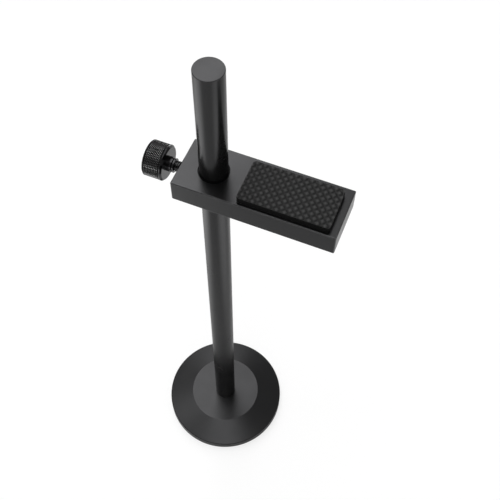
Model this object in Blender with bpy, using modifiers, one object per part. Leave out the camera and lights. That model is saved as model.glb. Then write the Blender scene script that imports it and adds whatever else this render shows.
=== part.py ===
"""Graphics card support bracket: a round weighted base, a plain rod standing in it, and a bar that
slides and turns on the rod, is clamped by a knurled thumb screw, and holds the card on a rubber pad.

Metres, +Z up. The origin is the centre of the underside. The bar points along +X, the thumb screw
along -X. Every moving piece has its origin on the axis that it moves about."""

from math import copysign, cos, pi, sin, tau

import bmesh
import bpy
from mathutils import Matrix, Vector

# Overall sizes
OVERALL_HEIGHT = 0.2510
ROD_DIAMETER = 0.0100
ROD_EDGE = 0.00015

# Base, a turned disc with a cone from its rim up to a flat top
BASE_DIAMETER = 0.0590
BASE_FLAT_DIAMETER = 0.0349
BASE_RIM_HEIGHT = 0.0044
BASE_CONE_RISE = 0.0038
BASE_EDGE = 0.0003
ROD_SOCKET_DEPTH = 0.0026

# Foot pad and ring magnet under the base
FOOT_THICKNESS = 0.0013
FOOT_PROUD = 0.0004
FOOT_RIM = 0.0022
FOOT_EDGE = 0.0002
MAGNET_INNER_DIAMETER = 0.0170
MAGNET_OUTER_DIAMETER = 0.0300
MAGNET_THICKNESS = 0.0028

# Countersunk screw that pulls the rod into the base
BASE_SCREW_DIAMETER = 0.0050
BASE_SCREW_HEAD_DIAMETER = 0.0092
BASE_SCREW_LENGTH = 0.0140
BASE_SCREW_RECESS = 0.0003
BASE_SCREW_KEY = 0.0030
BASE_SCREW_KEY_DEPTH = 0.0015
THREAD_RUN_OUT = 0.0030

# Bar, from its far end to the end that the thumb screw enters
ARM_REACH = 0.0470
ARM_TAIL = 0.0116
ARM_WIDTH = 0.0206
ARM_THICKNESS = 0.0090
ARM_UNDERSIDE = 0.1941
ARM_EDGE = 0.0004

# Split liner between the rod and the bar
LINER_WALL = 0.00045
LINER_RECESS = 0.0006
LINER_SPLIT = 0.0010

# Rubber pad on the bar, cut from a sheet with an embossed lattice of square bumps
PAD_THICKNESS = 0.0022
PAD_FROM_BORE = 0.00605
PAD_END_MARGIN = 0.0029
PAD_FRONT_MARGIN = 0.0012
PAD_BACK_MARGIN = 0.0028
PAD_CORNER = 0.0012
PAD_CORNER_STEPS = 4
TAPE_THICKNESS = 0.0002
BUMP_SPACING = 0.00279
BUMP_HEIGHT = 0.00023
BUMP_SLOPE = 0.00058
BUMP_SHIFT_X = -0.00075
BUMP_SHIFT_Y = -0.00062

# Knurled thumb screw and the soft nose in its end
HEAD_DIAMETER = 0.0130
HEAD_LENGTH = 0.0075
HEAD_STANDOFF = 0.0055
HEAD_OUTER_CHAMFER = 0.00047
HEAD_INNER_CHAMFER = 0.00062
KNURL_COUNT = 60
KNURL_ROWS = 10
KNURL_ROW_PITCH = 0.00059
KNURL_DEPTH = 0.00026
NECK_DIAMETER = 0.0053
NECK_LENGTH = 0.0016
NECK_GROOVE = 0.0001
NECK_GROOVE_DIAMETER = 0.0046
RING_DIAMETER = 0.0052
RING_WIDTH = 0.0005
THUMB_THREAD_DIAMETER = 0.0040
THREAD_CHAMFER = 0.0003
NOSE_LENGTH = 0.0014
NOSE_DIAMETER = 0.0031
NOSE_STEM_DIAMETER = 0.0018
NOSE_STEM_LENGTH = 0.0028
MOUTH_CHAMFER = 0.0003

# Clearances between pieces
SEAT_GAP = 0.00005
RUNNING_GAP = 0.00005
THREAD_GAP = 0.00005

# Distance within which points count as one
WELD = 0.0000001

# Facets round each turned piece
STEPS_BASE = 96
STEPS_ROD = 64
STEPS_SMALL = 40

# Places worked out from the sizes above
ROD_RADIUS = ROD_DIAMETER / 2
BASE_RADIUS = BASE_DIAMETER / 2
RIM_TOP = FOOT_PROUD + BASE_RIM_HEIGHT
BASE_TOP = RIM_TOP + BASE_CONE_RISE
SOCKET_FLOOR = BASE_TOP - ROD_SOCKET_DEPTH
ROD_FOOT = SOCKET_FLOOR + SEAT_GAP
POCKET_CEILING = FOOT_THICKNESS + SEAT_GAP
BASE_SCREW_BOTTOM = POCKET_CEILING + BASE_SCREW_RECESS
BASE_SCREW_TOP = BASE_SCREW_BOTTOM + BASE_SCREW_LENGTH
LINER_INNER = ROD_RADIUS + RUNNING_GAP
LINER_OUTER = LINER_INNER + LINER_WALL
BORE_RADIUS = LINER_OUTER + RUNNING_GAP
ARM_TOP = ARM_UNDERSIDE + ARM_THICKNESS
ARM_MIDDLE = ARM_UNDERSIDE + ARM_THICKNESS / 2
PAD_BOTTOM = ARM_TOP + SEAT_GAP + TAPE_THICKNESS + SEAT_GAP
HEAD_INNER_FACE = -ARM_TAIL - HEAD_STANDOFF
NOSE_FACE = -LINER_OUTER - SEAT_GAP
THUMB_SCREW_END = NOSE_FACE - NOSE_LENGTH


def clear_scene():
    for obj in list(bpy.data.objects):
        bpy.data.objects.remove(obj, do_unlink=True)


def new_collection(name):
    collection = bpy.data.collections.new(name)
    bpy.context.scene.collection.children.link(collection)
    return collection


def material(name, colour, roughness, metallic=0.0):
    made = bpy.data.materials.new(name)
    made.use_nodes = True
    shader = made.node_tree.nodes["Principled BSDF"]
    shader.inputs["Base Color"].default_value = (*colour, 1.0)
    shader.inputs["Roughness"].default_value = roughness
    shader.inputs["Metallic"].default_value = metallic
    made.diffuse_color = (*colour, 1.0)
    return made


def smooth_round(mesh, angle=0.6):
    mesh.shade_smooth()
    mesh.set_sharp_from_angle(angle=angle)


def add_object(name, mesh, collection, surface=None, at=(0, 0, 0), turn=(0, 0, 0)):
    obj = bpy.data.objects.new(name, mesh)
    obj.location = at
    obj.rotation_euler = turn
    if surface:
        mesh.materials.append(surface)
    collection.objects.link(obj)
    return obj


def mesh_from(bm, name):
    mesh = bpy.data.meshes.new(name)
    bm.to_mesh(mesh)
    bm.free()
    return mesh


def turned(name, profile, steps, collection, surface=None, closed=False, at=(0, 0, 0), turn=(0, 0, 0)):
    """A turned piece: the profile's (radius, height) points, down its outer side, about local Z."""
    bm = bmesh.new()
    points = [bm.verts.new((radius, 0, height)) for radius, height in profile]
    ends = points[1:] + points[:1] if closed else points[1:]
    for first, second in zip(points, ends):
        bm.edges.new((first, second))
    obj = add_object(name, mesh_from(bm, name), collection, surface, at, turn)
    screw = obj.modifiers.new("Turn", "SCREW")
    screw.steps = steps
    screw.render_steps = steps
    screw.use_merge_vertices = True
    screw.merge_threshold = 0.000001
    screw.use_smooth_shade = True
    return obj


def attach(parent, *children):
    """Makes the children move with the parent, each from the place where it stands."""
    bpy.context.view_layer.update()
    for child in children:
        child.parent = parent
        child.matrix_parent_inverse = parent.matrix_world.inverted()


def helper(obj):
    """Marks an object as a tool that shapes another one and isn't part of the model."""
    obj.hide_render = True
    obj.display_type = "WIRE"
    return obj


def combine(obj, tool, operation="DIFFERENCE"):
    cut = obj.modifiers.new(tool.name, "BOOLEAN")
    cut.object = helper(tool)
    cut.operation = operation
    cut.solver = "EXACT"


def along_bar(x):
    """Place and turn for a piece on the thumb screw's axis, whose local +Z points out of the bar."""
    return {"at": (x, 0, ARM_MIDDLE), "turn": (0, -pi / 2, 0)}


def make_base(parts, surface):
    slope = BASE_CONE_RISE / (BASE_RADIUS - BASE_FLAT_DIAMETER / 2)
    socket = ROD_RADIUS + SEAT_GAP
    pocket = BASE_RADIUS - FOOT_RIM
    magnet_in = MAGNET_INNER_DIAMETER / 2 - SEAT_GAP
    magnet_out = MAGNET_OUTER_DIAMETER / 2 + SEAT_GAP
    groove_top = POCKET_CEILING + MAGNET_THICKNESS + 2 * SEAT_GAP
    sink = BASE_SCREW_HEAD_DIAMETER / 2 + SEAT_GAP
    hole = BASE_SCREW_DIAMETER / 2 + SEAT_GAP
    profile = [
        (socket, BASE_TOP),
        (BASE_FLAT_DIAMETER / 2, BASE_TOP),
        (BASE_RADIUS - BASE_EDGE, RIM_TOP + BASE_EDGE * slope),
        (BASE_RADIUS, RIM_TOP - BASE_EDGE / 2),
        (BASE_RADIUS, FOOT_PROUD + BASE_EDGE),
        (BASE_RADIUS - BASE_EDGE, FOOT_PROUD),
        (pocket, FOOT_PROUD),
        (pocket, POCKET_CEILING),
        (magnet_out, POCKET_CEILING),
        (magnet_out, groove_top),
        (magnet_in, groove_top),
        (magnet_in, POCKET_CEILING),
        (sink, POCKET_CEILING),
        (sink, BASE_SCREW_BOTTOM + SEAT_GAP),
        (hole, BASE_SCREW_BOTTOM + SEAT_GAP + sink - hole),
        (hole, SOCKET_FLOOR),
        (socket, SOCKET_FLOOR),
    ]
    return turned("base_disc", profile, STEPS_BASE, parts, surface, closed=True)


def make_rod(parts, surface):
    tapped = BASE_SCREW_DIAMETER / 2 + THREAD_GAP
    tapped_top = BASE_SCREW_TOP + THREAD_RUN_OUT
    profile = [
        (0, OVERALL_HEIGHT),
        (ROD_RADIUS - ROD_EDGE, OVERALL_HEIGHT),
        (ROD_RADIUS, OVERALL_HEIGHT - ROD_EDGE),
        (ROD_RADIUS, ROD_FOOT + ROD_EDGE),
        (ROD_RADIUS - ROD_EDGE, ROD_FOOT),
        (tapped + MOUTH_CHAMFER, ROD_FOOT),
        (tapped, ROD_FOOT + MOUTH_CHAMFER),
        (tapped, tapped_top),
        (0, tapped_top + tapped / 2),
    ]
    return turned("rod", profile, STEPS_ROD, parts, surface)


def make_base_screw(parts, cutters, surface):
    radius = BASE_SCREW_DIAMETER / 2
    head = BASE_SCREW_HEAD_DIAMETER / 2
    profile = [
        (0, BASE_SCREW_TOP),
        (radius - THREAD_CHAMFER, BASE_SCREW_TOP),
        (radius, BASE_SCREW_TOP - THREAD_CHAMFER),
        (radius, BASE_SCREW_BOTTOM + head - radius),
        (head, BASE_SCREW_BOTTOM),
        (0, BASE_SCREW_BOTTOM),
    ]
    screw = turned("base_screw", profile, STEPS_SMALL, parts, surface)
    bm = bmesh.new()
    corner = BASE_SCREW_KEY / 2 / cos(pi / 6)
    deep = 2 * BASE_SCREW_KEY_DEPTH
    bmesh.ops.create_cone(
        bm, cap_ends=True, segments=6, radius1=corner, radius2=corner, depth=deep
    )
    key = add_object("base_screw_key", mesh_from(bm, "base_screw_key"), cutters, at=(0, 0, BASE_SCREW_BOTTOM))
    combine(screw, key)
    return screw


def make_magnet(parts, surface):
    inner = MAGNET_INNER_DIAMETER / 2
    outer = MAGNET_OUTER_DIAMETER / 2
    bottom = POCKET_CEILING + SEAT_GAP
    top = bottom + MAGNET_THICKNESS
    profile = [(inner, top), (outer, top), (outer, bottom), (inner, bottom)]
    return turned("ring_magnet", profile, STEPS_ROD, parts, surface, closed=True)


def make_foot(parts, surface):
    radius = BASE_RADIUS - FOOT_RIM - SEAT_GAP
    bm = bmesh.new()
    bmesh.ops.create_cone(
        bm, cap_ends=True, segments=STEPS_BASE, radius1=radius, radius2=radius, depth=FOOT_THICKNESS
    )
    rims = [edge for edge in bm.edges if abs(edge.verts[0].co.z - edge.verts[1].co.z) < FOOT_THICKNESS / 2]
    bmesh.ops.bevel(
        bm, geom=rims, offset=FOOT_EDGE, segments=1, profile=0.5, affect="EDGES", material=-1
    )
    mesh = mesh_from(bm, "foot_pad")
    smooth_round(mesh)
    return add_object("foot_pad", mesh, parts, surface, at=(0, 0, FOOT_THICKNESS / 2))


def make_liner(parts, surface):
    """An open wall swept round the rod, short of a full turn by the split, and thickened outwards."""
    bottom = ARM_UNDERSIDE + LINER_RECESS - ARM_MIDDLE
    top = ARM_TOP - LINER_RECESS - ARM_MIDDLE
    half_split = LINER_SPLIT / 2 / LINER_INNER
    start = pi / 2 + half_split
    bm = bmesh.new()
    spot = Vector((cos(start), sin(start), 0)) * LINER_INNER
    ends = [bm.verts.new(spot + Vector((0, 0, height))) for height in (top, bottom)]
    edge = bm.edges.new(ends)
    bmesh.ops.spin(
        bm, geom=[*ends, edge], cent=(0, 0, 0), axis=(0, 0, 1), angle=tau - 2 * half_split, steps=STEPS_ROD
    )
    bmesh.ops.recalc_face_normals(bm, faces=bm.faces)
    inward = sum(face.normal.dot(face.calc_center_median().normalized()) for face in bm.faces) < 0
    mesh = mesh_from(bm, "liner_sleeve")
    smooth_round(mesh)
    liner = add_object("liner_sleeve", mesh, parts, surface, at=(0, 0, ARM_MIDDLE))
    wall = liner.modifiers.new("Wall", "SOLIDIFY")
    wall.thickness = LINER_WALL
    wall.offset = -1 if inward else 1
    wall.use_even_offset = True
    return liner


def make_bar(parts, cutters, surface):
    length = ARM_REACH + ARM_TAIL
    middle = ARM_REACH - length / 2
    bm = bmesh.new()
    bmesh.ops.create_cube(bm, size=1.0)
    bmesh.ops.scale(bm, vec=(length, ARM_WIDTH, ARM_THICKNESS), verts=bm.verts)
    bmesh.ops.translate(bm, vec=(middle, 0, 0), verts=bm.verts)
    bar = add_object("arm_bar", mesh_from(bm, "arm_bar"), parts, surface, at=(0, 0, ARM_MIDDLE))
    edges = bar.modifiers.new("Broken edges", "BEVEL")
    edges.width = ARM_EDGE
    edges.segments = 2
    edges.limit_method = "ANGLE"

    past = ARM_THICKNESS
    bore = [(0, past), (BORE_RADIUS, past), (BORE_RADIUS, -past), (0, -past)]
    combine(bar, turned("arm_bore", bore, STEPS_ROD, cutters, at=(0, 0, ARM_MIDDLE)))

    tapped = THUMB_THREAD_DIAMETER / 2 + THREAD_GAP
    mouth = tapped + MOUTH_CHAMFER
    tap = [
        (0, past),
        (mouth, past),
        (mouth, 0),
        (tapped, -MOUTH_CHAMFER),
        (tapped, -ARM_TAIL),
        (0, -ARM_TAIL),
    ]
    combine(bar, turned("arm_tapped_hole", tap, STEPS_SMALL, cutters, **along_bar(-ARM_TAIL)))
    return bar


def pad_rectangle():
    """Low and high corners of the pad in plan."""
    low = (BORE_RADIUS + PAD_FROM_BORE, -ARM_WIDTH / 2 + PAD_FRONT_MARGIN)
    high = (ARM_REACH - PAD_END_MARGIN, ARM_WIDTH / 2 - PAD_BACK_MARGIN)
    return low, high


def make_tape(parts, surface):
    (x0, y0), (x1, y1) = pad_rectangle()
    bm = bmesh.new()
    bmesh.ops.create_cube(bm, size=1.0)
    bmesh.ops.scale(bm, vec=(x1 - x0, y1 - y0, TAPE_THICKNESS), verts=bm.verts)
    upright = [edge for edge in bm.edges if abs(edge.verts[0].co.z - edge.verts[1].co.z) > TAPE_THICKNESS / 2]
    bmesh.ops.bevel(
        bm,
        geom=upright,
        offset=PAD_CORNER,
        segments=PAD_CORNER_STEPS,
        profile=0.5,
        affect="EDGES",
        material=-1,
    )
    place = ((x0 + x1) / 2, (y0 + y1) / 2, ARM_TOP + SEAT_GAP + TAPE_THICKNESS / 2)
    return add_object("pad_tape", mesh_from(bm, "pad_tape"), parts, surface, at=place)


def make_pad(parts, surface):
    """A sheet of square bumps set corner to corner, cut to the pad's outline and given its sides."""
    (x0, y0), (x1, y1) = pad_rectangle()
    half_x, half_y = (x1 - x0) / 2, (y1 - y0) / 2
    cell = BUMP_SPACING * sin(pi / 4)
    cells = 2 * int((half_x + half_y) / cell + 2) + 1
    bm = bmesh.new()
    bmesh.ops.create_grid(bm, x_segments=cells, y_segments=cells, size=cells * cell / 2)
    bmesh.ops.rotate(bm, cent=(0, 0, 0), matrix=Matrix.Rotation(pi / 4, 3, "Z"), verts=bm.verts)
    bmesh.ops.translate(bm, vec=(BUMP_SHIFT_X, BUMP_SHIFT_Y, PAD_THICKNESS - BUMP_HEIGHT), verts=bm.verts)
    tops = list(bm.faces)
    bmesh.ops.inset_individual(bm, faces=tops, thickness=BUMP_SLOPE, use_even_offset=True)
    crowns = {vert for face in tops for vert in face.verts}
    bmesh.ops.translate(bm, vec=(0, 0, BUMP_HEIGHT), verts=list(crowns))
    for step in range(4 * PAD_CORNER_STEPS):
        angle = step / PAD_CORNER_STEPS * pi / 2
        side = Vector((cos(angle), sin(angle), 0))
        centre = Vector((copysign(half_x - PAD_CORNER, side.x), copysign(half_y - PAD_CORNER, side.y), 0))
        bmesh.ops.bisect_plane(
            bm,
            geom=[*bm.verts, *bm.edges, *bm.faces],
            dist=WELD,
            plane_co=centre + side * PAD_CORNER,
            plane_no=side,
            clear_outer=True,
        )
    border = [edge for edge in bm.edges if edge.is_boundary]
    made = bmesh.ops.extrude_edge_only(bm, edges=border)["geom"]
    for vert in (item for item in made if isinstance(item, bmesh.types.BMVert)):
        vert.co.z = 0
    bottom = [item for item in made if isinstance(item, bmesh.types.BMEdge)]
    bmesh.ops.edgeloop_fill(bm, edges=bottom)
    bmesh.ops.recalc_face_normals(bm, faces=bm.faces)
    place = ((x0 + x1) / 2, (y0 + y1) / 2, PAD_BOTTOM)
    return add_object("rubber_pad", mesh_from(bm, "rubber_pad"), parts, surface, at=place)


def knurled_head(parts, surface):
    """The head: a grid of points turned round the axis, every second one sunk to the groove's depth,
    and each square between four of them folded along the groove that crosses it."""
    crest = HEAD_DIAMETER / 2
    root = crest - KNURL_DEPTH
    knurl_end = HEAD_LENGTH - HEAD_OUTER_CHAMFER
    rows = [knurl_end - row * KNURL_ROW_PITCH for row in range(KNURL_ROWS + 1)]
    columns = 2 * KNURL_COUNT
    land = rows[-1] - KNURL_DEPTH
    outline = [(crest - HEAD_OUTER_CHAMFER, HEAD_LENGTH)]
    outline += [(crest, height) for height in rows]
    outline += [(crest, land), (crest, HEAD_INNER_CHAMFER), (crest - HEAD_INNER_CHAMFER, 0)]
    bm = bmesh.new()
    points = [bm.verts.new((radius, 0, height)) for radius, height in outline]
    edges = [bm.edges.new(pair) for pair in zip(points, points[1:])]
    bmesh.ops.spin(
        bm,
        geom=[*points, *edges],
        cent=(0, 0, 0),
        axis=(0, 0, 1),
        angle=tau,
        steps=columns,
        use_merge=True,
    )
    bm.verts.ensure_lookup_table()
    sunk = set()
    for vert in bm.verts:
        row = (knurl_end - vert.co.z) / KNURL_ROW_PITCH
        if row < -0.5 or row > KNURL_ROWS + 0.01:
            continue
        angle = Vector((1, 0)).angle_signed(vert.co.to_2d()) % tau
        if (round(row) + round(angle / tau * columns)) % 2:
            vert.co.xy *= root / vert.co.to_2d().length
            sunk.add(vert)
    for face in list(bm.faces):
        grooves = [vert for vert in face.verts if vert in sunk]
        if len(grooves) == 2:
            bmesh.utils.face_split(face, *grooves)
    bmesh.ops.holes_fill(bm, edges=[edge for edge in bm.edges if edge.is_boundary], sides=0)
    bmesh.ops.recalc_face_normals(bm, faces=bm.faces)
    return add_object("thumb_screw", mesh_from(bm, "thumb_screw"), parts, surface, **along_bar(HEAD_INNER_FACE))


def make_thumb_screw(parts, cutters, surface):
    screw = knurled_head(parts, surface)
    neck = NECK_DIAMETER / 2
    groove = NECK_GROOVE_DIAMETER / 2
    ring = RING_DIAMETER / 2
    ring_top = -NECK_LENGTH - (neck - groove) - NECK_GROOVE
    thread = THUMB_THREAD_DIAMETER / 2
    hole = NOSE_STEM_DIAMETER / 2 + SEAT_GAP
    end = HEAD_INNER_FACE - THUMB_SCREW_END
    shank = [
        (0, HEAD_LENGTH / 2),
        (neck, HEAD_LENGTH / 2),
        (neck, -NECK_LENGTH),
        (groove, -NECK_LENGTH - (neck - groove)),
        (groove, ring_top),
        (ring, ring_top),
        (ring, ring_top - RING_WIDTH),
        (thread, ring_top - RING_WIDTH),
        (thread, end + THREAD_CHAMFER),
        (thread - THREAD_CHAMFER, end),
        (hole, end),
        (hole, end + NOSE_STEM_LENGTH + SEAT_GAP),
        (0, end + NOSE_STEM_LENGTH + SEAT_GAP),
    ]
    joined = turned("thumb_screw_shank", shank, STEPS_SMALL, cutters, **along_bar(HEAD_INNER_FACE))
    combine(screw, joined, "UNION")
    return screw


def make_nose(parts, surface):
    """The soft nose: a disc that bears on the liner, with a stem pressed into the screw's end."""
    radius = NOSE_DIAMETER / 2
    stem = NOSE_STEM_DIAMETER / 2
    back = NOSE_LENGTH - SEAT_GAP
    edge = THREAD_CHAMFER / 2
    profile = [
        (0, back + NOSE_STEM_LENGTH),
        (stem, back + NOSE_STEM_LENGTH),
        (stem, back),
        (radius, back),
        (radius, edge),
        (radius - edge, 0),
        (0, 0),
    ]
    return turned("clamp_nose", profile, STEPS_SMALL, parts, surface, **along_bar(NOSE_FACE))


def main():
    clear_scene()
    parts = new_collection("graphics_card_support")
    cutters = new_collection("cutters")
    anodised = material("black_anodised", (0.030, 0.030, 0.032), 0.42, 0.6)
    anodised_bar = material("black_anodised_bar", (0.034, 0.034, 0.036), 0.45, 0.6)
    anodised_rod = material("black_anodised_rod", (0.028, 0.028, 0.030), 0.38, 0.6)
    blackened = material("blackened_steel", (0.026, 0.026, 0.028), 0.35, 0.8)
    rubber = material("black_rubber", (0.020, 0.020, 0.020), 0.80)
    foot_rubber = material("foot_rubber", (0.016, 0.016, 0.016), 0.90)
    liner_plastic = material("black_nylon", (0.008, 0.008, 0.008), 0.55)
    tape = material("black_foam_tape", (0.010, 0.010, 0.010), 0.95)
    nickel = material("nickel_plate", (0.62, 0.60, 0.56), 0.25, 1.0)
    zinc = material("zinc_plated_steel", (0.50, 0.50, 0.50), 0.35, 1.0)
    nylon = material("natural_nylon", (0.70, 0.68, 0.60), 0.50)

    base = make_base(parts, anodised)
    rod = make_rod(parts, anodised_rod)
    base_screw = make_base_screw(parts, cutters, zinc)
    magnet = make_magnet(parts, nickel)
    foot = make_foot(parts, foot_rubber)
    attach(base, rod, base_screw, magnet, foot)

    liner = make_liner(parts, liner_plastic)
    attach(rod, liner)
    bar = make_bar(parts, cutters, anodised_bar)
    attach(liner, bar)
    attach(bar, make_tape(parts, tape), make_pad(parts, rubber))

    nose = make_nose(parts, nylon)
    attach(bar, nose)
    attach(nose, make_thumb_screw(parts, cutters, blackened))


main()
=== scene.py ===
from math import copysign, cos, pi, radians, sin, tau

import bmesh
import bpy
from mathutils import Matrix, Vector


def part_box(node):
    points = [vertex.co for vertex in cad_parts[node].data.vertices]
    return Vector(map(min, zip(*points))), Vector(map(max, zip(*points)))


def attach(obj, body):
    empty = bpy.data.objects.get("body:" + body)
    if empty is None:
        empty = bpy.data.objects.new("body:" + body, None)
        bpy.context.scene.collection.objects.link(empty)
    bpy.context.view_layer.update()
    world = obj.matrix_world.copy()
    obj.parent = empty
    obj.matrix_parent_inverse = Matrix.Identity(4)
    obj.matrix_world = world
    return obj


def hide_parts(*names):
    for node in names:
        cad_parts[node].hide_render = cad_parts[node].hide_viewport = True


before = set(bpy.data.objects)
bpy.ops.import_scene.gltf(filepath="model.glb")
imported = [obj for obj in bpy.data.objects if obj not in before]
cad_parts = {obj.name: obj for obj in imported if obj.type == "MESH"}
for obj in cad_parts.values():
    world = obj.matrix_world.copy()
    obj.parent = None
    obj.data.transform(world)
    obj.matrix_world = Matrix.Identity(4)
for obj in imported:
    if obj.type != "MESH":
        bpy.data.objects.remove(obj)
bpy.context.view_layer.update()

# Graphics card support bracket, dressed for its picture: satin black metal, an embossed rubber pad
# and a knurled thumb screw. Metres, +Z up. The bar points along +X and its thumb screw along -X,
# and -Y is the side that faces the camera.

# Sizes that the frame's boxes don't give
SEAT_GAP = 0.00005
MOUTH_CHAMFER = 0.0003
BASE_FLAT_RADIUS = 0.01745
BASE_CONE_RISE = 0.0038
SOCKET_DEPTH = 0.0026
MAGNET_INNER_RADIUS = 0.0085
TAPPED_RADIUS = 0.0025
TAPPED_DEPTH = 0.0167
ROD_EDGE = 0.00015
LINER_WALL = 0.00045
LINER_SPLIT = 0.0010
LINER_EDGE = 0.0001
ARM_EDGE = 0.0004

# Pad: a lattice of square bumps set corner to corner, each rising in steps of (inset, rise), on a sheet
# that is cut roughly first, this much larger than the pad, and then to its outline
BUMP_SPACING = 0.00279
BUMP_SHIFT = (-0.00075, -0.00062)
BUMP_STEPS = ((0.00018, 0.00008), (0.00020, 0.00007), (0.00020, 0.00005), (0.00020, 0.00003))
BUMP_HEIGHT = sum(rise for inset, rise in BUMP_STEPS)
ROUGH_CUT = 1.3
PAD_CORNER = 0.0012
CORNER_CUTS = 6

# Thumb screw: head, knurl, neck, ring and thread. The attribute of the knurl's marks is -1 in its
# grooves, which are painted near black as a painted shade, and 1 on its tips, which are painted lighter
# as polish and a painted highlight together
KNURL_MARKS = "knurl_tips_and_grooves"
HEAD_LENGTH = 0.0075
HEAD_OUTER_CHAMFER = 0.00047
HEAD_INNER_CHAMFER = 0.00062
KNURL_COUNT = 60
KNURL_ROWS = 10
KNURL_ROW_PITCH = 0.00059
KNURL_DEPTH = 0.00026
KNURL_FLAT = 0.00012
NECK_RADIUS = 0.00265
NECK_LENGTH = 0.0016
NECK_GROOVE = 0.0001
NECK_GROOVE_RADIUS = 0.0023
RING_RADIUS = 0.0026
RING_WIDTH = 0.0005
THREAD_RADIUS = 0.0020
THREAD_ROOT_RADIUS = 0.00157
THREAD_PITCH = 0.0007
THREAD_CREST = 0.00010
THREAD_ROOT = 0.00014
THREAD_STEPS = 48
NOSE_STEM_RADIUS = 0.0009
NOSE_STEM_LENGTH = 0.0028

# Fineness: steps of a rounded corner and of a full turn, and the distance at which points are merged
ARC_STEPS = 4
FINE_STEPS = 192
WELD = 0.0000001

# Finishes: the painted shade on rubber's upright sides, how strongly the edges' scuffing and painted
# highlight show, how soon they fade in round a sheltered place, which faces count as a rod's level faces,
# which take a painted shade, how sharply a knurl's tips with their painted highlight, its grooves with
# their painted shade and the pad's crowns with their painted highlight stand out, and the noises' range
# Painted shade: the colour of rubber's upright sides.
RUBBER_SIDE_SHADE = (0.0015, 0.0015, 0.0015)
EDGE_MARK_CONTRAST = 6.0
EDGE_MARK_SHARE = 0.6
SHELTER_FADE = 1.1
END_FACES = (0.7, 0.95)
TIP_POWER = 1.6
GROOVE_FACTOR = -1.8
CROWN_POWER = 2.2
NOISE_LOW = 0.3
NOISE_HIGH = 0.7

# Tool marks: turning rings on the base, and lines along the drawn rod
RING_PITCH = 0.00018
RING_DEPTH = 0.8
DRAWN_SCALE = (9000.0, 9000.0, 60.0)
DRAWN_DEPTH = 0.4

# Photograph's camera, found from the object's outlines: its place, a point it looks at, its tilt and lens
CAMERA_PLACE = Vector((0.07239, -0.14922, 0.42200))
CAMERA_AIM = Vector((-0.00025, 0.03438, 0.10000))
CAMERA_TILT = radians(0.61)
CAMERA_LENS = 58.5
SENSOR_WIDTH = 36.0

# Studio: a dim room and softboxes that lie flat overhead. Each one is given by the slopes from the
# bracket to its edges, along X and then along Y, and by its brightness. Then come the softness of
# their edges and the lowest height that a slope is worked out for
ROOM_LEVEL = 0.37
SOFTBOXES = (
    ("main softbox, near half", (-0.62, -0.06), (-0.20, 0.47), 3.2),
    ("main softbox, far half", (-0.62, -0.205), (0.47, 1.42), 3.9),
    ("fainter softbox on the left, near half", (-0.95, -0.62), (-0.35, 0.75), 1.1),
    ("fainter softbox on the left, far half", (-1.05, -0.62), (0.75, 1.55), 2.5),
    ("small softbox, in front", (-0.13, 0.35), (-0.70, -0.10), 2.1),
)
SOFTBOX_EDGE = 0.05
LOWEST_HEIGHT = 0.001
WHITE = (1.0, 1.0, 1.0, 1.0)

# Floor: its reach, its colour, what the camera sees of it, and what the black metal mirrors of it, which
# is painted darker, a painted shade, but for painted pools of light round the bracket, where it glows for
# glossy rays only: each one's middle, radii and brightness
FLOOR_REACH = 4.0
FLOOR_COLOUR = 0.80
FLOOR_SEEN = 0.28
FLOOR_LIFT = 0.74
# Painted shade: the floor's darker colour for glossy rays.
MIRRORED_COLOUR = 0.68
MIRRORED_POOLS = (
    ((-0.20, -0.08, 0.0), (0.05, 0.17), 1.4),
    ((0.16, -0.06, 0.0), (0.04, 0.13), 0.95),
    ((0.06, 0.17, 0.0), (0.05, 0.13), 0.25),
)

# Far off, the floor glows on three sides for glossy rays only, a painted light which draws soft lines
# down the rod in low views: each side's direction and brightness, the reach over which they begin, and
# the cosines of their edges
MIRRORED_SIDES = (
    ((1.0, 0.25, 0.0), 3.6),
    ((-0.7, 0.75, 0.0), 3.6),
    ((-0.35, -0.95, 0.0), 3.0),
)
MIRRORED_SIDES_REACH = (0.30, 0.75)
MIRRORED_SIDES_COSINES = (0.45, 0.95)


def node(tree, kind, inputs=None, **settings):
    """A shader node with its settings and inputs, where an input is a value or another node's socket."""
    made = tree.nodes.new("ShaderNode" + kind)
    for name, value in settings.items():
        setattr(made, name, value)
    for key, value in (inputs or {}).items():
        if isinstance(value, bpy.types.NodeSocket):
            tree.links.new(value, made.inputs[key])
        else:
            made.inputs[key].default_value = value
    return made


def maths(tree, operation, *values, clamp=False):
    made = node(tree, "Math", dict(enumerate(values)), operation=operation, use_clamp=clamp)
    return made.outputs[0]


def ramp(tree, value, start, end, low=0.0, high=1.0):
    """A soft rise from low to high as the value goes from start to end."""
    made = node(
        tree, "MapRange", {0: value, 1: start, 2: end, 3: low, 4: high}, interpolation_type="SMOOTHSTEP"
    )
    return made.outputs[0]


def own_place(tree):
    """Each point's place on its own piece."""
    return node(tree, "TexCoord").outputs["Object"]


def from_axis(tree):
    """Distance to the piece's Z axis."""
    flat = node(tree, "VectorMath", {0: own_place(tree), 1: (1.0, 1.0, 0.0)}, operation="MULTIPLY")
    return node(tree, "VectorMath", {0: flat.outputs[0]}, operation="LENGTH").outputs["Value"]


def levelness(tree):
    """1 on faces that look straight up or down, and 0 on upright ones."""
    normal = node(tree, "NewGeometry").outputs["Normal"]
    return maths(tree, "ABSOLUTE", node(tree, "SeparateXYZ", {0: normal}).outputs[2])


def effect(name, inputs, outputs):
    """An empty shader node group with float inputs, and its ends to build between."""
    group = bpy.data.node_groups.new(name, "ShaderNodeTree")
    for label, value in inputs.items():
        socket = group.interface.new_socket(label, in_out="INPUT", socket_type="NodeSocketFloat")
        socket.default_value = value
    for label in outputs:
        group.interface.new_socket(label, in_out="OUTPUT", socket_type="NodeSocketFloat")
    return group, group.nodes.new("NodeGroupInput").outputs, group.nodes.new("NodeGroupOutput").inputs


def place_effect(tree, group, inputs):
    made = tree.nodes.new("ShaderNodeGroup")
    made.node_tree = group
    for label, value in inputs.items():
        made.inputs[label].default_value = value
    return made.outputs


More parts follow.
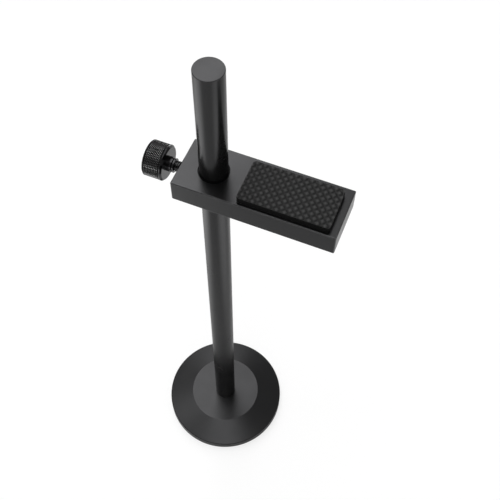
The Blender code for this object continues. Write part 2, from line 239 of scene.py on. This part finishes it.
def satin_grain():
    """Fine blasted grain under anodising or in moulded rubber: its height, and a slower unevenness."""
    group, given, wanted = effect("Satin grain", {"Grain": 0.0002, "Cloud": 0.006}, ("Height", "Cloud"))
    where = own_place(group)
    fine = maths(group, "DIVIDE", 1.0, given["Grain"])
    slow = maths(group, "DIVIDE", 1.0, given["Cloud"])
    grain = node(group, "TexNoise", {"Vector": where, "Scale": fine, "Detail": 3.0, "Roughness": 0.6})
    cloud = node(group, "TexNoise", {"Vector": where, "Scale": slow, "Detail": 4.0, "Roughness": 0.55})
    group.links.new(grain.outputs[0], wanted["Height"])
    group.links.new(cloud.outputs[0], wanted["Cloud"])
    return group


def edge_scuffs_and_highlights():
    """A mask of the edges, where scuffing and a painted highlight are laid together, broken up so that no
    line is even.
    """
    group, given, wanted = effect("Edge scuffing and painted highlight", {"Width": 0.0002, "Break": 0.0008}, ("Mask",))
    rounded = node(group, "Bevel", {"Radius": given["Width"]}, samples=6)
    plain = node(group, "NewGeometry").outputs["Normal"]
    straight = node(group, "VectorMath", {0: rounded.outputs[0], 1: plain}, operation="DOT_PRODUCT")
    turn = maths(group, "SUBTRACT", 1.0, straight.outputs["Value"])
    edge = maths(group, "MULTIPLY", turn, EDGE_MARK_CONTRAST, clamp=True)
    size = maths(group, "DIVIDE", 1.0, given["Break"])
    patch = node(group, "TexNoise", {"Vector": own_place(group), "Scale": size, "Detail": 3.0})
    broken = node(group, "MapRange", {0: patch.outputs[0], 1: 0.35, 2: 0.65, 3: 0.25, 4: 1.0})
    group.links.new(maths(group, "MULTIPLY", edge, broken.outputs[0]), wanted["Mask"])
    return group


def turning_rings():
    """Faint rings that a lathe tool leaves round the Z axis, from the distance to that axis."""
    group, given, wanted = effect("Turning rings", {"Pitch": 0.0002}, ("Height",))
    turns = maths(group, "DIVIDE", from_axis(group), given["Pitch"])
    rings = node(group, "TexNoise", {"W": turns, "Scale": 1.0, "Detail": 2.0}, noise_dimensions="1D")
    group.links.new(rings.outputs[0], wanted["Height"])
    return group


def new_surface(name, **constants):
    """A material with its Principled shader's constants set, ready for what varies over the surface."""
    made = bpy.data.materials.new(name)
    made.use_nodes = True
    shader = made.node_tree.nodes["Principled BSDF"]
    for label, value in constants.items():
        shader.inputs[label.replace("_", " ")].default_value = value
    return made, made.node_tree, shader


def blend_colour(tree, share, first, second):
    """From the first colour to the second as the share rises. Either may be another node's socket."""
    pair = [side if isinstance(side, bpy.types.NodeSocket) else (*side, 1.0) for side in (first, second)]
    return node(tree, "Mix", {0: share, 6: pair[0], 7: pair[1]}, data_type="RGBA").outputs[2]


def uneven_gloss(tree, noise, roughness, spread):
    """Roughness that drifts to both sides of its middle value as a noise does."""
    made = node(
        tree,
        "MapRange",
        {0: noise, 1: NOISE_LOW, 2: NOISE_HIGH, 3: roughness - spread, 4: roughness + spread},
    )
    return made.outputs[0]


def black_metal(
    name,
    grain,
    edge_mark_group,
    colour,
    edge_scuff_and_highlight,
    roughness,
    spread=0.03,
    lines=None,
    metallic=1.0,
    edge_tint=1.0,
    edge_width=0.00022,
    sheltered=None,
    painted_end_shade=None,
    tips=None,
    grooves=None,
):
    """Dyed or blackened metal: satin, a little uneven in gloss, and lighter along its edges, where
    scuffing and a painted highlight are laid together. None of this is laid within the sheltered radius
    of the Z axis. Faces that look straight up or down are painted darker, a painted shade. A knurl's tips
    are painted lighter, polish and a painted highlight together, and its grooves are painted near black,
    a painted shade."""
    tint = (edge_tint, edge_tint, edge_tint, 1.0)
    made, tree, shader = new_surface(name, Metallic=metallic, Specular_Tint=tint)
    grains = place_effect(tree, grain, {"Grain": 0.00016, "Cloud": 0.009})
    # Painted highlight and scuffing along the edges.
    edge_marks = place_effect(tree, edge_mark_group, {"Width": edge_width, "Break": 0.0011})
    share = maths(tree, "MULTIPLY", edge_marks["Mask"], EDGE_MARK_SHARE)
    if sheltered:
        outside_shelter = ramp(tree, from_axis(tree), sheltered, SHELTER_FADE * sheltered)
        share = maths(tree, "MULTIPLY", share, outside_shelter)
    dye_and_painted_light = blend_colour(tree, share, colour, edge_scuff_and_highlight)
    # Painted shade on faces that look straight up or down.
    if painted_end_shade:
        dye_and_painted_light = blend_colour(tree, ramp(tree, levelness(tree), *END_FACES), dye_and_painted_light, painted_end_shade)
    # Painted highlight on the knurl's tips, with polish, and painted shade in its grooves.
    for place, factor, power in ((tips, 1.0, TIP_POWER), (grooves, GROOVE_FACTOR, 1.0)):
        if place:
            tip_or_groove = node(tree, "Attribute", attribute_name=KNURL_MARKS).outputs["Fac"]
            share = maths(tree, "POWER", maths(tree, "MULTIPLY", tip_or_groove, factor, clamp=True), power)
            dye_and_painted_light = blend_colour(tree, share, dye_and_painted_light, place)
    tree.links.new(dye_and_painted_light, shader.inputs["Base Color"])
    tree.links.new(uneven_gloss(tree, grains["Cloud"], roughness, spread), shader.inputs["Roughness"])
    height = grains["Height"]
    if lines:
        height = maths(tree, "ADD", height, lines(tree))
    bump = node(tree, "Bump", {"Height": height, "Strength": 0.35, "Distance": 0.00001})
    tree.links.new(bump.outputs[0], shader.inputs["Normal"])
    return made


def moulded_rubber(name, grain, colour, cloud_and_crown_highlight, roughness, crown_from=None, crown_to=None, shine=0.3):
    """Black rubber with a fine moulded grain. Its crowns are painted lighter, a painted highlight, and
    its upright sides are matt and painted darker, a painted shade."""
    made, tree, shader = new_surface(name, Specular_IOR_Level=shine)
    grains = place_effect(tree, grain, {"Grain": 0.00012, "Cloud": 0.003})
    share = maths(tree, "MULTIPLY", grains["Cloud"], 0.3)
    # Painted highlight: lighter toward the bumps' crowns.
    if crown_from is not None:
        height = node(tree, "SeparateXYZ", {0: own_place(tree)}).outputs[2]
        raised = node(tree, "MapRange", {0: height, 1: crown_from, 2: crown_to, 3: 0.0, 4: 1.0})
        rounded = maths(tree, "POWER", raised.outputs[0], CROWN_POWER)
        share = maths(tree, "MULTIPLY", rounded, maths(tree, "ADD", grains["Cloud"], 0.45), clamp=True)
    top_with_crown_highlight = blend_colour(tree, share, colour, cloud_and_crown_highlight)
    # Painted shade: upright sides take the darker side colour.
    level = node(tree, "MapRange", {0: levelness(tree), 1: 0.2, 2: 0.6, 3: 0.0, 4: 1.0}).outputs[0]
    tree.links.new(blend_colour(tree, level, RUBBER_SIDE_SHADE, top_with_crown_highlight), shader.inputs["Base Color"])
    gloss = uneven_gloss(tree, grains["Cloud"], roughness, 0.06)
    matt = node(tree, "Mix", {0: level, 2: 1.0, 3: gloss})
    tree.links.new(matt.outputs[0], shader.inputs["Roughness"])
    bump = node(tree, "Bump", {"Height": grains["Height"], "Strength": 0.5, "Distance": 0.00002})
    tree.links.new(bump.outputs[0], shader.inputs["Normal"])
    return made


def plated_steel(name, grain, colour, dull, roughness):
    """Bright plating with faint clouding."""
    made, tree, shader = new_surface(name, Metallic=1.0)
    grains = place_effect(tree, grain, {"Grain": 0.0003, "Cloud": 0.004})
    tree.links.new(blend_colour(tree, grains["Cloud"], colour, dull), shader.inputs["Base Color"])
    tree.links.new(uneven_gloss(tree, grains["Height"], roughness, 0.05), shader.inputs["Roughness"])
    return made


def moulded_plastic(name, grain, colour, shade, roughness):
    """Plain plastic with a faint clouding between two shades."""
    made, tree, shader = new_surface(name, Specular_IOR_Level=0.3)
    grains = place_effect(tree, grain, {"Grain": 0.00025, "Cloud": 0.003})
    tree.links.new(blend_colour(tree, grains["Cloud"], colour, shade), shader.inputs["Base Color"])
    tree.links.new(uneven_gloss(tree, grains["Height"], roughness, 0.05), shader.inputs["Roughness"])
    return made


def turned(outline, steps=FINE_STEPS, closed=False):
    """A turned shape about Z from (radius, height, softness) corners, each rounded by its softness."""
    bm = bmesh.new()
    corners = [bm.verts.new((radius, 0, height)) for radius, height, softness in outline]
    following = corners[1:] + corners[:1] if closed else corners[1:]
    for pair in zip(corners, following):
        bm.edges.new(pair)
    for corner, (radius, height, softness) in zip(corners, outline):
        if softness:
            soften(bm, [corner], softness, ARC_STEPS, "VERTICES")
    spin(bm, steps)
    return bm


def soften(bm, geom, offset, segments, affect):
    """Rounds the given corners or edges."""
    return bmesh.ops.bevel(
        bm,
        geom=geom,
        offset=offset,
        segments=segments,
        profile=0.5,
        affect=affect,
        material=-1,
    )


def spin(bm, steps):
    """Turns the wire profile in the XZ plane once round Z, and closes its seam and poles."""
    bmesh.ops.spin(
        bm,
        geom=[*bm.verts, *bm.edges],
        cent=(0, 0, 0),
        axis=(0, 0, 1),
        angle=tau,
        steps=steps,
        use_merge=True,
    )
    bmesh.ops.remove_doubles(bm, verts=bm.verts, dist=WELD)
    bmesh.ops.recalc_face_normals(bm, faces=bm.faces)


def loose_object(name, bm):
    mesh = bpy.data.meshes.new(name)
    bm.to_mesh(mesh)
    bm.free()
    made = bpy.data.objects.new(name, mesh)
    bpy.context.scene.collection.objects.link(made)
    return made


def cut_away(bm, *tools):
    """The solid with each tool's shape cut from it, as a new bmesh."""
    body = loose_object("body", bm)
    cutters = [loose_object("cutter", tool) for tool in tools]
    for cutter in cutters:
        cut = body.modifiers.new("Cut", "BOOLEAN")
        cut.object = cutter
        cut.solver = "EXACT"
    shaped = bpy.data.meshes.new_from_object(body.evaluated_get(bpy.context.evaluated_depsgraph_get()))
    result = bmesh.new()
    result.from_mesh(shaped)
    bpy.data.meshes.remove(shaped)
    for used in (body, *cutters):
        bpy.data.meshes.remove(used.data)
    return result


def add_piece(name, bm, surface, body, stands_for, sharp=radians(35)):
    """Makes the finished shape a piece that moves with its body in place of the plain solid."""
    piece = loose_object(name, bm)
    piece.data.shade_smooth()
    piece.data.set_sharp_from_angle(angle=sharp)
    piece.data.materials.append(surface)
    even = piece.modifiers.new("Even shading", "WEIGHTED_NORMAL")
    even.keep_sharp = True
    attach(piece, body)
    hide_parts(stands_for)
    return piece


def make_base():
    low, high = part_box("base_disc")
    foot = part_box("foot_pad")[1]
    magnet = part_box("ring_magnet")[1]
    screw_low, screw_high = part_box("base_screw")
    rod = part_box("rod")[1]
    ceiling = foot.z + SEAT_GAP
    rim = high.z - BASE_CONE_RISE
    sink = screw_high.x + SEAT_GAP
    hole = TAPPED_RADIUS + SEAT_GAP
    outline = [
        (rod.x + SEAT_GAP, high.z, 0.0),
        (BASE_FLAT_RADIUS, high.z, 0.00012),
        (high.x, rim, 0.00035),
        (high.x, low.z, 0.0003),
        (foot.x + SEAT_GAP, low.z, 0.0),
        (foot.x + SEAT_GAP, ceiling, 0.0),
        (magnet.x + SEAT_GAP, ceiling, 0.0),
        (magnet.x + SEAT_GAP, magnet.z + SEAT_GAP, 0.0),
        (MAGNET_INNER_RADIUS - SEAT_GAP, magnet.z + SEAT_GAP, 0.0),
        (MAGNET_INNER_RADIUS - SEAT_GAP, ceiling, 0.0),
        (sink, ceiling, 0.0),
        (sink, screw_low.z + SEAT_GAP, 0.0),
        (hole, screw_low.z + SEAT_GAP + sink - hole, 0.0),
        (hole, high.z - SOCKET_DEPTH, 0.0),
        (rod.x + SEAT_GAP, high.z - SOCKET_DEPTH, 0.0),
    ]
    return turned(outline, closed=True)


def make_rod():
    low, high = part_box("rod")
    tapped = TAPPED_RADIUS + SEAT_GAP
    outline = [
        (0.0, high.z, 0.0),
        (high.x - ROD_EDGE, high.z, 0.00003),
        (high.x, high.z - ROD_EDGE, 0.00005),
        (high.x, low.z + ROD_EDGE, 0.0),
        (high.x - ROD_EDGE, low.z, 0.0),
        (tapped + MOUTH_CHAMFER, low.z, 0.0),
        (tapped, low.z + MOUTH_CHAMFER, 0.0),
        (tapped, low.z + TAPPED_DEPTH, 0.0),
        (0.0, low.z + TAPPED_DEPTH + tapped / 2, 0.0),
    ]
    return turned(outline)


def make_foot():
    low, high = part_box("foot_pad")
    outline = [
        (0.0, high.z, 0.0),
        (high.x, high.z, 0.0002),
        (high.x, low.z, 0.0003),
        (0.0, low.z, 0.0),
    ]
    return turned(outline)


def make_liner():
    """An open wall swept round the rod, short of a full turn by its split, with softened rims."""
    low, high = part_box("liner_sleeve")
    outer = high.x
    inner = outer - LINER_WALL
    half_split = LINER_SPLIT / 2 / inner
    start = pi / 2 + half_split
    bm = bmesh.new()
    across = Vector((cos(start), sin(start), 0))
    section = [
        across * radius + Vector((0, 0, height))
        for radius, height in ((inner, high.z), (outer, high.z), (outer, low.z), (inner, low.z))
    ]
    face = bm.faces.new([bm.verts.new(corner) for corner in section])
    soften(bm, list(face.verts), LINER_EDGE, 2, "VERTICES")
    bmesh.ops.spin(
        bm,
        geom=list(bm.faces),
        cent=(0, 0, 0),
        axis=(0, 0, 1),
        angle=tau - 2 * half_split,
        steps=FINE_STEPS // 2,
    )
    bmesh.ops.recalc_face_normals(bm, faces=bm.faces)
    return bm


def cylinder_tool(radius, depth, steps):
    bm = bmesh.new()
    bmesh.ops.create_cone(bm, cap_ends=True, segments=steps, radius1=radius, radius2=radius, depth=depth)
    return bm


def make_bar():
    low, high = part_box("arm_bar")
    middle = (low + high) / 2
    size = high - low
    bm = bmesh.new()
    bmesh.ops.create_cube(bm, size=1.0)
    bmesh.ops.scale(bm, vec=size, verts=bm.verts)
    bmesh.ops.translate(bm, vec=middle, verts=bm.verts)
    soften(bm, list(bm.edges), ARM_EDGE, 3, "EDGES")
    bore_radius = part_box("liner_sleeve")[1].x + SEAT_GAP
    bore = cylinder_tool(bore_radius, 3 * size.z, FINE_STEPS // 2)
    bmesh.ops.translate(bore, vec=(0, 0, middle.z), verts=bore.verts)
    mouth = THREAD_RADIUS + SEAT_GAP + MOUTH_CHAMFER
    tap = turned(
        [
            (0.0, size.z, 0.0),
            (mouth, size.z, 0.0),
            (mouth, 0.0, 0.0),
            (mouth - MOUTH_CHAMFER, -MOUTH_CHAMFER, 0.0),
            (mouth - MOUTH_CHAMFER, low.x, 0.0),
            (0.0, low.x, 0.0),
        ],
        steps=THREAD_STEPS,
    )
    stand_along_bar(tap, Vector((low.x, 0, middle.z)))
    bar = cut_away(bm, bore, tap)
    bmesh.ops.dissolve_degenerate(bar, edges=bar.edges, dist=WELD)
    bmesh.ops.triangulate(bar, faces=bar.faces, quad_method="BEAUTY", ngon_method="BEAUTY")
    return bar


def stand_along_bar(bm, place):
    """Turns a shape built about Z so that its +Z points out of the bar's end, and puts it in place."""
    bmesh.ops.rotate(bm, cent=(0, 0, 0), matrix=Matrix.Rotation(-pi / 2, 3, "Y"), verts=bm.verts)
    bmesh.ops.translate(bm, vec=place, verts=bm.verts)


def make_pad():
    """A sheet of soft-edged square bumps, cut to the pad's outline and given its sides."""
    low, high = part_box("rubber_pad")
    middle = (low + high) / 2
    half = (high - low) / 2
    cell = BUMP_SPACING * sin(pi / 4)
    cells = 2 * int((half.x + half.y) / cell + 2) + 1
    bm = bmesh.new()
    bmesh.ops.create_grid(bm, x_segments=cells, y_segments=cells, size=cells * cell / 2)
    bmesh.ops.rotate(bm, cent=(0, 0, 0), matrix=Matrix.Rotation(pi / 4, 3, "Z"), verts=bm.verts)
    bmesh.ops.translate(
        bm, vec=(middle.x + BUMP_SHIFT[0], middle.y + BUMP_SHIFT[1], high.z - BUMP_HEIGHT), verts=bm.verts
    )
    crop(bm, middle, half * ROUGH_CUT)
    bumps = [face for face in bm.faces if len(face.verts) == 4]
    for inset, rise in BUMP_STEPS:
        bmesh.ops.inset_individual(bm, faces=bumps, thickness=inset, use_even_offset=True)
        crowns = {vert for face in bumps for vert in face.verts}
        bmesh.ops.translate(bm, vec=(0, 0, rise), verts=list(crowns))
    for round_over in range(2):
        bmesh.ops.subdivide_edges(bm, edges=bm.edges, cuts=1, use_grid_fill=True)
        bmesh.ops.smooth_vert(
            bm, verts=bm.verts, factor=0.5, use_axis_x=True, use_axis_y=True, use_axis_z=True
        )
    crop(bm, middle, half, PAD_CORNER)
    settle = high.z - max(vert.co.z for vert in bm.verts)
    bmesh.ops.translate(bm, vec=(0, 0, settle), verts=bm.verts)
    border = [edge for edge in bm.edges if edge.is_boundary]
    corners, rim = drawn_out(bm, border)
    for vert in corners:
        vert.co.z = low.z
    bmesh.ops.edgeloop_fill(bm, edges=rim)
    bmesh.ops.recalc_face_normals(bm, faces=bm.faces)
    return bm


def drawn_out(bm, edges):
    """Draws a wall out of a loop of edges, and gives the corners and edges of its new rim."""
    made = bmesh.ops.extrude_edge_only(bm, edges=edges)["geom"]
    corners = [item for item in made if isinstance(item, bmesh.types.BMVert)]
    rim = [item for item in made if isinstance(item, bmesh.types.BMEdge)]
    return corners, rim


def crop(bm, middle, half, corner=0.0):
    """Cuts a sheet to a rectangle in plan, with round corners made of straight cuts."""
    for step in range(4 * CORNER_CUTS):
        angle = step / CORNER_CUTS * pi / 2
        side = Vector((cos(angle), sin(angle), 0))
        centre = Vector((copysign(half.x - corner, side.x), copysign(half.y - corner, side.y), 0))
        bmesh.ops.bisect_plane(
            bm,
            geom=[*bm.verts, *bm.edges, *bm.faces],
            dist=WELD,
            plane_co=middle + centre + side * corner,
            plane_no=side,
            clear_outer=True,
        )


def knurl(bm, crest, first_row, columns):
    """Sinks every second point of the head's lattice, folds each square along its groove and
    flattens each diamond's tip a little."""
    tip_or_groove = bm.verts.layers.float.new(KNURL_MARKS)
    root = crest - KNURL_DEPTH
    sunk = set()
    tips = []
    for vert in bm.verts:
        row = (first_row - vert.co.z) / KNURL_ROW_PITCH
        if row < -0.5 or row > KNURL_ROWS + 0.01 or vert.co.to_2d().length < root:
            continue
        angle = Vector((1, 0)).angle_signed(vert.co.to_2d()) % tau
        if (round(row) + round(angle / tau * columns)) % 2:
            vert.co.xy *= root / vert.co.to_2d().length
            vert[tip_or_groove] = -1.0
            sunk.add(vert)
        elif 0.5 < row < KNURL_ROWS - 0.5:
            tips.append(vert)
    for face in list(bm.faces):
        grooves = [vert for vert in face.verts if vert in sunk]
        if len(grooves) == 2 and len(face.verts) == 4:
            bmesh.utils.face_split(face, *grooves)
    for vert in soften(bm, tips, KNURL_FLAT, 1, "VERTICES")["verts"]:
        vert[tip_or_groove] = 1.0


def add_thread(bm, top, tip):
    """The helical thread from the ring down to the tip, with a chamfered end and the nose's hole."""
    above = [edge for edge in bm.edges if edge.is_boundary]
    flank = (THREAD_PITCH - THREAD_CREST - THREAD_ROOT) / 2
    levels = [
        (THREAD_ROOT_RADIUS, 0.0),
        (THREAD_RADIUS, -flank),
        (THREAD_RADIUS, -flank - THREAD_CREST),
        (THREAD_ROOT_RADIUS, -2 * flank - THREAD_CREST),
        (THREAD_ROOT_RADIUS, -THREAD_PITCH),
    ]
    coil = bmesh.new()
    start = top + THREAD_PITCH
    corners = [coil.verts.new((radius, 0, start + height)) for radius, height in levels]
    wires = [coil.edges.new(pair) for pair in zip(corners, corners[1:])]
    turns = int((top - tip) / THREAD_PITCH) + 4
    bmesh.ops.spin(
        coil,
        geom=[*corners, *wires],
        cent=(0, 0, 0),
        axis=(0, 0, 1),
        dvec=(0, 0, -THREAD_PITCH / THREAD_STEPS),
        angle=tau * turns,
        steps=THREAD_STEPS * turns,
    )
    bmesh.ops.remove_doubles(coil, verts=coil.verts, dist=WELD)
    for height, outer in ((top, True), (tip, False)):
        bmesh.ops.bisect_plane(
            coil,
            geom=[*coil.verts, *coil.edges, *coil.faces],
            dist=WELD,
            plane_co=(0, 0, height),
            plane_no=(0, 0, 1),
            clear_outer=outer,
            clear_inner=not outer,
        )
    for vert in coil.verts:
        limit = THREAD_ROOT_RADIUS + vert.co.z - tip
        if vert.co.to_2d().length > limit:
            vert.co.xy *= limit / vert.co.to_2d().length
    mesh = bpy.data.meshes.new("thread")
    coil.to_mesh(mesh)
    coil.free()
    bm.from_mesh(mesh)
    bpy.data.meshes.remove(mesh)
    open_edges = [edge for edge in bm.edges if edge.is_boundary and edge not in above]
    upper = [edge for edge in open_edges if edge.verts[0].co.z > (top + tip) / 2]
    lower = [edge for edge in open_edges if edge.verts[0].co.z <= (top + tip) / 2]
    bmesh.ops.bridge_loops(bm, edges=above + upper)
    hole = bmesh.ops.create_circle(bm, segments=THREAD_STEPS, radius=NOSE_STEM_RADIUS + SEAT_GAP)["verts"]
    bmesh.ops.translate(bm, vec=(0, 0, tip), verts=hole)
    mouth = list({edge for vert in hole for edge in vert.link_edges})
    bmesh.ops.bridge_loops(bm, edges=lower + mouth)
    deep, rim = drawn_out(bm, mouth)
    bmesh.ops.translate(bm, vec=(0, 0, NOSE_STEM_LENGTH + SEAT_GAP), verts=deep)
    bmesh.ops.edgeloop_fill(bm, edges=rim)


def make_thumb_screw():
    low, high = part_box("thumb_screw")
    crest = (high.z - low.z) / 2
    inner_face = low.x + HEAD_LENGTH
    tip = inner_face - high.x
    first_row = HEAD_LENGTH - HEAD_OUTER_CHAMFER
    rows = [first_row - row * KNURL_ROW_PITCH for row in range(KNURL_ROWS + 1)]
    groove_end = -NECK_LENGTH - (NECK_RADIUS - NECK_GROOVE_RADIUS) - NECK_GROOVE
    outline = [(0.0, HEAD_LENGTH), (crest - HEAD_OUTER_CHAMFER, HEAD_LENGTH)]
    outline += [(crest, height) for height in rows]
    outline += [
        (crest, rows[-1] - KNURL_DEPTH),
        (crest, HEAD_INNER_CHAMFER),
        (crest - HEAD_INNER_CHAMFER, 0.0),
        (NECK_RADIUS, 0.0),
        (NECK_RADIUS, -NECK_LENGTH),
        (NECK_GROOVE_RADIUS, -NECK_LENGTH - (NECK_RADIUS - NECK_GROOVE_RADIUS)),
        (NECK_GROOVE_RADIUS, groove_end),
        (RING_RADIUS, groove_end),
        (RING_RADIUS, groove_end - RING_WIDTH),
    ]
    bm = bmesh.new()
    points = [bm.verts.new((radius, 0, height)) for radius, height in outline]
    for pair in zip(points, points[1:]):
        bm.edges.new(pair)
    spin(bm, 2 * KNURL_COUNT)
    knurl(bm, crest, first_row, 2 * KNURL_COUNT)
    add_thread(bm, groove_end - RING_WIDTH, tip)
    bmesh.ops.recalc_face_normals(bm, faces=bm.faces)
    stand_along_bar(bm, Vector((inner_face, 0, (low.z + high.z) / 2)))
    return bm


def dress_node(name, surface):
    """Gives a solid of the frame its finish."""
    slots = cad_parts[name].data.materials
    slots.clear()
    slots.append(surface)


def set_camera():
    camera = bpy.data.objects.new("camera", bpy.data.cameras.new("camera"))
    camera.data.lens = CAMERA_LENS
    camera.data.sensor_width = SENSOR_WIDTH
    camera.data.clip_start = 0.01
    aim = (CAMERA_AIM - CAMERA_PLACE).to_track_quat("-Z", "Y").to_matrix().to_4x4()
    camera.matrix_world = Matrix.Translation(CAMERA_PLACE) @ aim @ Matrix.Rotation(CAMERA_TILT, 4, "Z")
    bpy.context.scene.collection.objects.link(camera)
    bpy.context.scene.camera = camera


def seen_directly(tree):
    """1 where the camera looks straight at a surface or through glass."""
    path = node(tree, "LightPath").outputs
    return maths(tree, "MAXIMUM", path["Is Camera Ray"], path["Is Transmission Ray"])


def light_room():
    """Lights the bracket from the softboxes, and shows plain white behind it."""
    world = bpy.data.worlds.new("plain studio")
    world.use_nodes = True
    tree = world.node_tree
    background = tree.nodes["Background"]
    background.inputs["Color"].default_value = WHITE
    toward = node(tree, "SeparateXYZ", {0: node(tree, "TexCoord").outputs["Generated"]}).outputs
    height = maths(tree, "MAXIMUM", toward[2], LOWEST_HEIGHT)
    slopes = [maths(tree, "DIVIDE", toward[axis], height) for axis in (0, 1)]
    room = ROOM_LEVEL
    for name, *spans, level in SOFTBOXES:
        for slope, (low_edge, high_edge) in zip(slopes, spans):
            for edge, inside in ((low_edge, SOFTBOX_EDGE), (high_edge, -SOFTBOX_EDGE)):
                covered = ramp(tree, slope, edge - inside, edge + inside)
                covered.node.label = name
                level = maths(tree, "MULTIPLY", level, covered)
        room = maths(tree, "ADD", room, level)
    strength = node(tree, "Mix", {0: seen_directly(tree), 2: room, 3: 1.0})
    tree.links.new(strength.outputs[0], background.inputs["Strength"])
    bpy.context.scene.world = world


def lay_floor():
    """A plain pale floor, white in the picture, which keeps the bracket's shadow. To glossy rays it is
    painted darker, a painted shade, and glows in painted pools of light round the bracket and far off on
    three sides.
    """
    bm = bmesh.new()
    bmesh.ops.create_grid(bm, x_segments=1, y_segments=1, size=FLOOR_REACH)
    floor = loose_object("floor", bm)
    made, tree, shader = new_surface("white floor", Roughness=0.9, Specular_IOR_Level=0.0)
    mirrored = node(tree, "LightPath").outputs["Is Glossy Ray"]
    seen = seen_directly(tree)
    # Glossy rays see the floor painted darker, a painted shade.
    tone = node(tree, "Mix", {0: mirrored, 2: FLOOR_COLOUR, 3: MIRRORED_COLOUR}).outputs[0]
    tone = node(tree, "Mix", {0: seen, 2: tone, 3: FLOOR_SEEN}).outputs[0]
    grey = node(tree, "CombineColor", {0: tone, 1: tone, 2: tone}).outputs[0]
    tree.links.new(grey, shader.inputs["Base Color"])
    where = own_place(tree)
    lift = 0.0
    # Painted pools of light: the floor glows round the bracket for glossy rays only.
    for middle, (inner, outer), level in MIRRORED_POOLS:
        away = node(tree, "VectorMath", {0: where, 1: middle}, operation="DISTANCE").outputs["Value"]
        lift = maths(tree, "ADD", lift, ramp(tree, away, inner, outer, level, 0.0))
    reach = node(tree, "VectorMath", {0: where}, operation="LENGTH").outputs["Value"]
    far_off = ramp(tree, reach, *MIRRORED_SIDES_REACH)
    heading = node(tree, "VectorMath", {0: where}, operation="NORMALIZE").outputs[0]
    # Painted light far off on three sides, for glossy rays only.
    for side, level in MIRRORED_SIDES:
        facing = node(
            tree, "VectorMath", {0: heading, 1: Vector(side).normalized()}, operation="DOT_PRODUCT"
        ).outputs["Value"]
        glow = maths(tree, "MULTIPLY", far_off, ramp(tree, facing, *MIRRORED_SIDES_COSINES, 0.0, level))
        lift = maths(tree, "ADD", lift, glow)
    lift = maths(tree, "MULTIPLY", lift, mirrored)
    lift = node(tree, "Mix", {0: seen, 2: lift, 3: FLOOR_LIFT}).outputs[0]
    shader.inputs["Emission Color"].default_value = WHITE
    tree.links.new(lift, shader.inputs["Emission Strength"])
    floor.data.materials.append(made)


def main():
    grain = satin_grain()
    edge_mark_group = edge_scuffs_and_highlights()
    rings = turning_rings()

    def faced(tree):
        """Turning rings for faces that were cut on a lathe."""
        turned_rings = place_effect(tree, rings, {"Pitch": RING_PITCH})
        return maths(tree, "MULTIPLY", turned_rings["Height"], RING_DEPTH)

    def drawn(tree):
        """Faint lines along the rod from drawing."""
        stretched = node(tree, "Mapping", {0: own_place(tree), 3: DRAWN_SCALE}).outputs[0]
        lines = node(tree, "TexNoise", {"Vector": stretched, "Scale": 1.0, "Detail": 2.0}).outputs[0]
        return maths(tree, "MULTIPLY", lines, DRAWN_DEPTH)

    # The edge colours below are scuffing and a painted highlight together.
    base_black = black_metal(
        "black anodised base",
        grain,
        edge_mark_group,
        colour=(0.038, 0.038, 0.039),
        edge_scuff_and_highlight=(0.16, 0.16, 0.16),
        roughness=0.32,
        lines=faced,
    )
    bar_black = black_metal(
        "black anodised bar",
        grain,
        edge_mark_group,
        colour=(0.038, 0.038, 0.039),
        edge_scuff_and_highlight=(0.28, 0.28, 0.28),
        roughness=0.31,
        edge_width=0.0006,
        sheltered=0.0063,
    )
    rod_black = black_metal(
        "black anodised rod",
        grain,
        edge_mark_group,
        colour=(0.042, 0.042, 0.043),
        edge_scuff_and_highlight=(0.13, 0.13, 0.13),
        roughness=0.25,
        lines=drawn,
        metallic=0.86,
        edge_tint=0.74,
        # Painted shade on the rod's level faces.
        painted_end_shade=(0.033, 0.033, 0.034),
    )
    screw_black = black_metal(
        "blackened steel",
        grain,
        edge_mark_group,
        colour=(0.031, 0.031, 0.032),
        edge_scuff_and_highlight=(0.10, 0.10, 0.10),
        roughness=0.20,
        spread=0.04,
        # Painted highlight with polish on the knurl's tips, and painted shade in its grooves.
        tips=(0.26, 0.26, 0.26),
        grooves=(0.002, 0.002, 0.002),
    )
    pad_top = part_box("rubber_pad")[1].z
    pad_rubber = moulded_rubber(
        "embossed black rubber",
        grain,
        colour=(0.008, 0.008, 0.008),
        # Painted highlight on the bumps' crowns.
        cloud_and_crown_highlight=(0.039, 0.039, 0.039),
        roughness=0.45,
        crown_from=pad_top - BUMP_HEIGHT,
        crown_to=pad_top,
        shine=0.16,
    )
    foot_rubber = moulded_rubber(
        "foot rubber", grain, colour=(0.014, 0.014, 0.014), cloud_and_crown_highlight=(0.03, 0.03, 0.03), roughness=0.75
    )
    liner_nylon = moulded_plastic(
        "black nylon", grain, colour=(0.003, 0.003, 0.003), shade=(0.005, 0.005, 0.005), roughness=0.6
    )
    nose_nylon = moulded_plastic(
        "natural nylon", grain, colour=(0.70, 0.68, 0.60), shade=(0.62, 0.60, 0.52), roughness=0.5
    )
    tape_foam = moulded_plastic(
        "black foam tape", grain, colour=(0.008, 0.008, 0.008), shade=(0.014, 0.014, 0.014), roughness=0.9
    )
    zinc = plated_steel(
        "zinc plated steel", grain, colour=(0.55, 0.55, 0.54), dull=(0.42, 0.42, 0.43), roughness=0.35
    )
    nickel = plated_steel(
        "nickel plate", grain, colour=(0.62, 0.60, 0.56), dull=(0.52, 0.50, 0.47), roughness=0.25
    )

    add_piece("turned_base", make_base(), base_black, "stand", "base_disc")
    add_piece("upright_rod", make_rod(), rod_black, "stand", "rod")
    add_piece("rubber_foot", make_foot(), foot_rubber, "stand", "foot_pad")
    add_piece("split_liner", make_liner(), liner_nylon, "liner", "liner_sleeve")
    add_piece("clamp_bar", make_bar(), bar_black, "bar", "arm_bar")
    add_piece("embossed_pad", make_pad(), pad_rubber, "bar", "rubber_pad", sharp=radians(60))
    add_piece("knurled_screw", make_thumb_screw(), screw_black, "screw", "thumb_screw")
    dress_node("base_screw", zinc)
    dress_node("ring_magnet", nickel)
    dress_node("pad_tape", tape_foam)
    dress_node("clamp_nose", nose_nylon)

    lay_floor()
    light_room()
    set_camera()
    bpy.context.scene.view_settings.view_transform = "Standard"


main()
